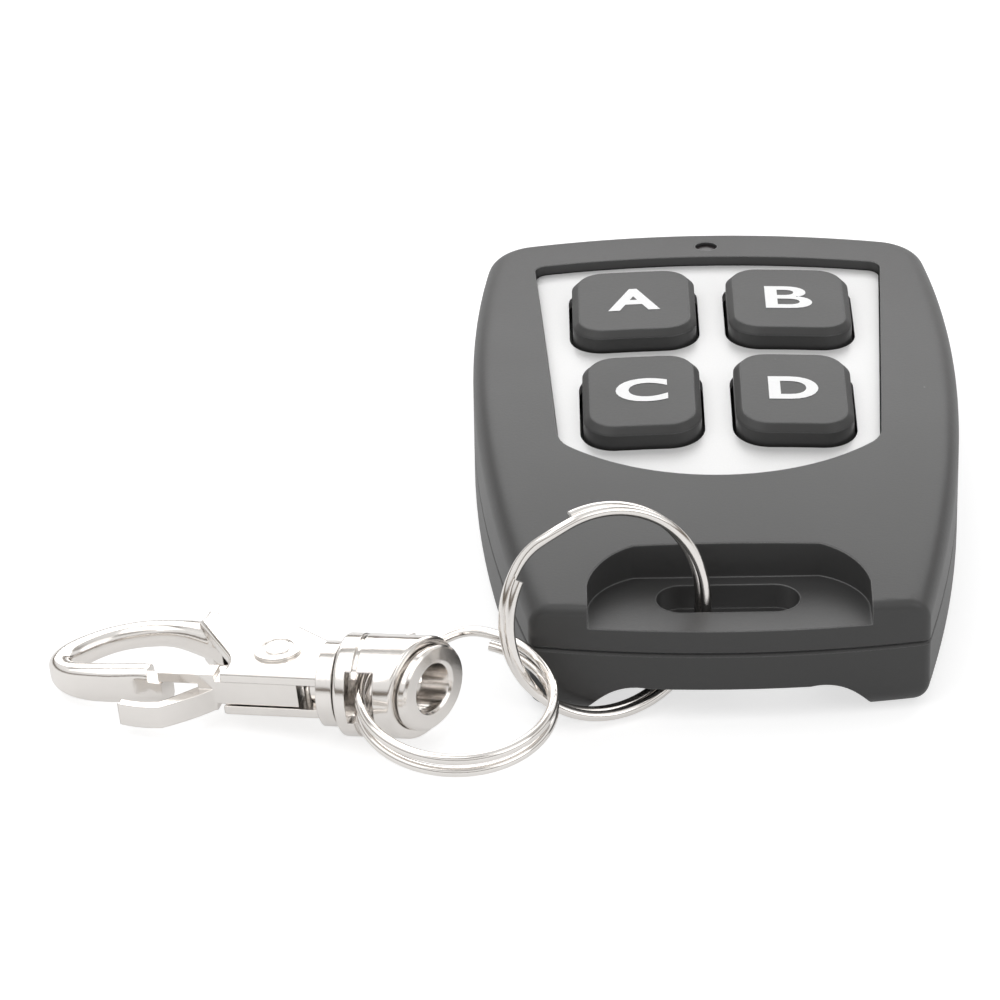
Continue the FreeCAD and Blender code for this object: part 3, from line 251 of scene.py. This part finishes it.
polish = {
    "wave": 1.6 * mm, "pit": 0.09 * mm, "pitDepth": 0.1, "pitRough": 0.05,
    "smear": 4 * mm, "smearShade": 0.88, "smearRough": 0.08, "bump": 0.7,
}


def nickel(name, color, rough, cast, edgeRound=0.0):
    # cast is the height of the skin's waves
    paint = Paint(name)
    skin = paint.noise(polish["wave"])
    smear = paint.noise(polish["smear"], detail=3.0, rough=0.6)
    pits = paint.noise(polish["pit"], rough=0.6)
    height = skin * (1 - polish["pitDepth"]) + pits * polish["pitDepth"]
    soft = paint.softNormal(edgeRound) if edgeRound else None
    return paint.finish(
        Base_Color=paint.blend(smear, shaded(color, polish["smearShade"]), color),
        Metallic=1.0,
        Roughness=rough + sway(smear, polish["smearRough"]) + sway(pits, polish["pitRough"]),
        Normal=paint.bump(height, cast, polish["bump"], soft),
    )


inner = {"shade": 0.82, "depth": 0.01 * mm, "bump": 0.5, "roughSpan": 0.12}


def plainPart(name, color, rough, metallic=0.0, grain=0.3 * mm, coat=0.0):
    paint = Paint(name)
    fine = paint.noise(grain, detail=3.0, rough=0.6)
    return paint.finish(
        Base_Color=paint.blend(fine, shaded(color, inner["shade"]), color),
        Metallic=metallic,
        Roughness=rough + sway(fine, inner["roughSpan"]),
        Coat_Weight=coat,
        Normal=paint.bump(fine, inner["depth"], inner["bump"]),
    )


wrap = {
    "end": grey(0.5), "body": (0.03, 0.09, 0.22, 1), "band": (0.62, 0.5, 0.12, 1),
    # the print's runs in a metre, and where body and band begin in one run
    "perMetre": 30, "bodyFrom": 0.12, "bandFrom": 0.86,
    "grain": 0.4 * mm, "metallic": 0.4, "rough": 0.35, "roughSpan": 0.1,
}


def batteryWrap():
    paint = Paint("batteryWrap")
    along = paint.node("ShaderNodeSeparateXYZ", None, {"Vector": paint.place}, out="X")
    stops = [(0.0, wrap["end"]), (wrap["bodyFrom"], wrap["body"]), (wrap["bandFrom"], wrap["band"])]
    fine = paint.noise(wrap["grain"])
    return paint.finish(
        Base_Color=paint.ramp(along * wrap["perMetre"] + 0.5, stops),
        Metallic=wrap["metallic"],
        Roughness=wrap["rough"] + sway(fine, wrap["roughSpan"]),
    )


materials = {
    "case": mattePlastic("casePlastic", plastic["caseTone"], plastic["caseGrain"], plastic["caseEdge"]),
    "keys": mattePlastic("keyPlastic", plastic["keyTone"], plastic["keyGrain"], plastic["keyEdge"]),
    "plate": silverPaint(),
    "ring": nickel("ringNickel", grey(0.88, 0.032), rough=0.13, cast=0.004 * mm),
    "clasp": nickel("claspNickel", grey(0.87, 0.034), rough=0.15, cast=0.03 * mm, edgeRound=0.14 * mm),
    "screws": plainPart("zincScrews", grey(0.55), rough=0.35, metallic=1.0),
    "board": plainPart("boardMask", (0.02, 0.16, 0.06, 1), rough=0.3, grain=0.8 * mm, coat=0.4),
    "switch": plainPart("switchBlack", grey(0.03), rough=0.45),
    "plunger": plainPart("plungerWhite", grey(0.8, 0.02), rough=0.4),
    "chip": plainPart("chipBlack", grey(0.035), rough=0.55),
    "lens": plainPart("lampLens", (0.016, 0.010, 0.010, 1), rough=0.3, grain=1 * mm, coat=0.1),
    "can": plainPart("resonatorSteel", grey(0.7), rough=0.25, metallic=1.0),
    "copper": plainPart("trackCopper", (0.72, 0.40, 0.22, 1), rough=0.3, metallic=1.0),
    "contacts": plainPart("springSteel", grey(0.68, 0.01), rough=0.28, metallic=1.0),
    "battery": batteryWrap(),
}
letterWhite = whitePrint()
print("materials made:", len(materials) + 1)

slotOf = {part["node"]: part["material_slot"] for part in frame["record"]["subparts"]}
bodyOf = {name: body for body, names in frame["record"]["behaviour"]["bodies"].items() for name in names}

smoothed = [
    "top_shell", "bottom_shell", "face_plate", "button_a", "button_b", "button_c", "button_d", "ring_fob",
    "ring_clasp", "clasp_body", "trigger", "clasp_rivet", "swivel_barrel", "swivel_pin",
]


def dressNode(name):
    # the solid itself stays and gets its finish
    mesh = nodes[name].data
    mesh.materials.clear()
    mesh.materials.append(materials[slotOf[name]])


def smoothCopy(name):
    # the same shape, smooth over its curves and sharp at its edges
    mesh = nodes[name].data.copy()
    shape = bmesh.new()
    shape.from_mesh(mesh)
    bmesh.ops.remove_doubles(shape, verts=shape.verts, dist=weldGap)
    for face in shape.faces:
        face.smooth = True
    for edge in shape.edges:
        edge.smooth = not (edge.is_manifold and edge.calc_face_angle(0) > sharpAngle)
    shape.to_mesh(mesh)
    shape.free()
    piece = addObject(name + "Look", mesh)
    mesh.materials.clear()
    mesh.materials.append(materials[slotOf[name]])
    normals = piece.modifiers.new("normals", "WEIGHTED_NORMAL")
    normals.keep_sharp = True
    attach(piece, bodyOf[name])
    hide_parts(name)


for name in nodes:
    if name in smoothed:
        smoothCopy(name)
    else:
        dressNode(name)
print("solids dressed:", len(smoothed), "with smooth copies")

boss = {
    # the mouth's middle along the barrel, and its slant
    "mouth": 6.6 * mm, "slant": 0.4146, "sides": 96,
    # radius and distance in front of the mouth, in mm
    "profile": [
        (1.95, -1.6), (2.98, -1.6), (2.98, 0.24), (3.42, 0.24), (3.42, 0.68), (3.22, 0.88),
        (2.15, 0.88), (1.95, 0.68),
    ],
}


def makeBoss():
    # the stepped lip round the barrel's hole, cut aslant like the mouth
    spin = next(joint for joint in frame["record"]["behaviour"]["joints"] if joint["name"] == "clasp_spin")
    along = Vector(spin["axis"])
    side = Vector((0, 0, 1)).cross(along).normalized()
    up = along.cross(side)
    shape = bmesh.new()
    rings = []
    for radius, forward in boss["profile"]:
        ring = []
        for number in range(boss["sides"]):
            angle = 2 * math.pi * number / boss["sides"]
            across, tall = radius * mm * math.cos(angle), radius * mm * math.sin(angle)
            reach = boss["mouth"] + boss["slant"] * across + forward * mm
            ring.append(shape.verts.new(Vector(spin["pos_m"]) + along * reach + side * across + up * tall))
        rings.append(ring)
    for ring, after in zip(rings, rings[1:] + rings[:1]):
        for number in range(boss["sides"]):
            nextNumber = (number + 1) % boss["sides"]
            face = shape.faces.new((ring[number], ring[nextNumber], after[nextNumber], after[number]))
            face.smooth = True
    bmesh.ops.recalc_face_normals(shape, faces=shape.faces)
    for edge in shape.edges:
        edge.smooth = edge.calc_face_angle(0) < sharpAngle
    mesh = bpy.data.meshes.new("swivelBoss")
    shape.to_mesh(mesh)
    shape.free()
    mesh.materials.append(materials["clasp"])
    piece = addObject("swivelBoss", mesh)
    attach(piece, "swivel")


makeBoss()
print("barrel's lip made")

letters = {
    "lift": 0.03 * mm, "roundness": 6,
    # width, height and the stroke's added weight of each
    "A": (4.4 * mm, 4.1 * mm, 0.034), "B": (3.95 * mm, 4.2 * mm, 0.016),
    "C": (4.3 * mm, 3.7 * mm, 0.034), "D": (4.1 * mm, 3.6 * mm, 0.034),
}


def makeLetter(text, key):
    curve = bpy.data.curves.new("letter" + text, "FONT")
    curve.body = text
    width, height, curve.offset = letters[text]
    curve.resolution_u = letters["roundness"]
    font = addObject("letter" + text, curve)
    bpy.context.view_layer.update()
    mesh = bpy.data.meshes.new_from_object(font)
    bpy.data.objects.remove(font)
    low = Vector([min(vertex.co[axis] for vertex in mesh.vertices) for axis in range(3)])
    high = Vector([max(vertex.co[axis] for vertex in mesh.vertices) for axis in range(3)])
    size = high - low
    keyLow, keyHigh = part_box(key)
    centre = (keyLow + keyHigh) / 2
    solid = nodes[key].data
    corners = [vertex.co for vertex in solid.vertices]
    top = BVHTree.FromPolygons(corners, [face.vertices for face in solid.polygons])
    shape = bmesh.new()
    shape.from_mesh(mesh)
    bmesh.ops.triangulate(shape, faces=shape.faces)
    for vertex in shape.verts:
        x = centre.x + ((vertex.co.x - low.x) / size.x - 0.5) * width
        y = centre.y + ((vertex.co.y - low.y) / size.y - 0.5) * height
        hit = top.ray_cast(Vector((x, y, keyHigh.z + mm)), Vector((0, 0, -1)))[0]
        vertex.co = Vector((x, y, hit.z + letters["lift"]))
    shape.to_mesh(mesh)
    shape.free()
    piece = addObject("letter" + text, mesh)
    mesh.materials.append(letterWhite)
    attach(piece, bodyOf[key])


for text, key in zip("ABCD", ("button_a", "button_b", "button_c", "button_d")):
    makeLetter(text, key)
print("letters placed")

floorLook = {
    "width": 3.0, "depth": 0.05 * mm, "color": grey(0.56), "rough": 0.9,
    # how bright it looks by itself, and how much of that the shiny parts see
    "glow": 0.66, "mirrored": 0.55,
}


def makeFloor():
    bpy.ops.mesh.primitive_plane_add(size=floorLook["width"], location=(0, 0, -floorLook["depth"]))
    floor = bpy.context.object
    floor.name = "floor"
    paint = Paint("paleFloor")
    paint.finish(Base_Color=floorLook["color"], Roughness=floorLook["rough"])
    plain = Flow(paint.tree, paint.shader.outputs[0])
    glow = paint.node("ShaderNodeEmission", None, {"Strength": floorLook["glow"]})
    bright = paint.node("ShaderNodeAddShader", None, {0: plain, 1: glow})
    mirrored = paint.node("ShaderNodeLightPath", out="Is Glossy Ray")
    seen = paint.node("ShaderNodeLightPath", out="Is Camera Ray") + mirrored * floorLook["mirrored"]
    both = paint.node("ShaderNodeMixShader", None, {0: seen, 1: plain, 2: bright})
    both.link(paint.tree.nodes["Material Output"].inputs[0])
    floor.data.materials.append(paint.material)


studio = {
    "ambient": grey(0.45),
    # what metal sees, from the horizon up
    "reflected": [
        (0.0, grey(0.90)), (0.09, grey(0.82)), (0.13, grey(0.11, 0.025)), (0.24, grey(0.14, 0.025)),
        (0.31, grey(0.84)), (0.62, grey(0.92)), (0.71, grey(0.34, 0.015)), (0.82, grey(0.40, 0.015)),
        (0.92, grey(0.78)),
    ],
}


def makeWorld():
    world = bpy.data.worlds.new("studio")
    bpy.context.scene.world = world
    world.use_nodes = True
    sky = Graph(world.node_tree)
    direction = sky.node("ShaderNodeTexCoord", out="Generated")
    height = sky.node("ShaderNodeSeparateXYZ", None, {"Vector": direction}, out="Z")
    mirrored = sky.node("ShaderNodeLightPath", out="Is Glossy Ray")
    color = sky.blend(mirrored, studio["ambient"], sky.ramp(height, studio["reflected"]))
    color.link(world.node_tree.nodes["Background"].inputs[0])


lamps = {
    "keyLamp": {"place": (-0.35, -0.15, 0.75), "size": (0.8, 0.8), "power": 2.2},
    "fillLamp": {"place": (0.55, -0.35, 0.5), "size": (0.5, 0.7), "power": 0.9},
    "backLamp": {"place": (0.05, 0.7, 0.55), "size": (1.3, 0.66), "power": 4.5},
}


def makeLamp(name, place, size, power):
    data = bpy.data.lights.new(name, "AREA")
    data.shape = "RECTANGLE"
    data.size, data.size_y = size
    data.energy = power
    lamp = addObject(name, data)
    lamp.location = place
    lamp.rotation_mode = "QUATERNION"
    lamp.rotation_quaternion = (-Vector(place)).to_track_quat("-Z", "Y")


view = {
    "target": Vector((-18.09, 0, 2.53)) * mm, "distance": 490 * mm, "lens": 211.1, "nearest": 10 * mm,
    # in degrees
    "azimuth": 0.36, "elevation": 29.95, "roll": -1.03,
}


def makeCamera():
    azimuth, elevation, roll = [math.radians(view[name]) for name in ("azimuth", "elevation", "roll")]
    level = math.cos(elevation)
    back = Vector((math.sin(azimuth) * level, -math.cos(azimuth) * level, math.sin(elevation)))
    right = Vector((0, 0, 1)).cross(back).normalized()
    up = back.cross(right)
    right, up = right * math.cos(roll) + up * math.sin(roll), up * math.cos(roll) - right * math.sin(roll)
    data = bpy.data.cameras.new("camera")
    data.lens = view["lens"]
    data.clip_start = view["nearest"]
    camera = addObject("camera", data)
    turned = Matrix((right, up, back)).transposed().to_4x4()
    camera.matrix_world = Matrix.Translation(view["target"] + back * view["distance"]) @ turned
    bpy.context.scene.camera = camera


makeFloor()
makeWorld()
for name, lamp in lamps.items():
    makeLamp(name, **lamp)
makeCamera()
bpy.context.scene.view_settings.view_transform = "Standard"
print("floor, lamps and camera placed")
